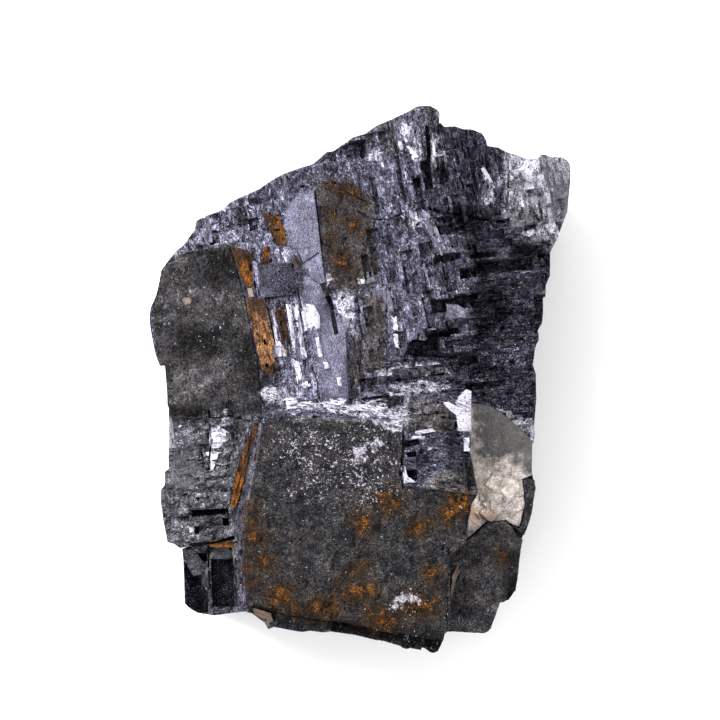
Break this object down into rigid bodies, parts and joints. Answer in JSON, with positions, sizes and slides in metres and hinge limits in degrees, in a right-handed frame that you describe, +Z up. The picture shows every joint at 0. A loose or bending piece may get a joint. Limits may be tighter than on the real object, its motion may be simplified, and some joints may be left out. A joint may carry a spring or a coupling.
{
  "type": "galena crystal specimen",
  "caption": "Mass of intergrown cubic galena crystals with stepped cleavage faces and a calcite vein, lying on its flat cleaved back.",
  "frame": {"origin": "centre of the bounding box, on the surface that the specimen lies on", "axes": "+X to the side with the calcite vein, +Y to the narrow end with the crest, +Z up, out of the large crystal face"},
  "size_m": [0.0704, 0.0914, 0.038],
  "materials": {
    "galena": "lead grey cleavage with a metallic lustre, dulled to a dark matt grey on the oldest faces",
    "calcite": "opaque cream to grey, with a waxy lustre"
  },
  "bodies": {
    "root": {"galena": "galena", "calcite": "calcite"}
  },
  "joints": []
}
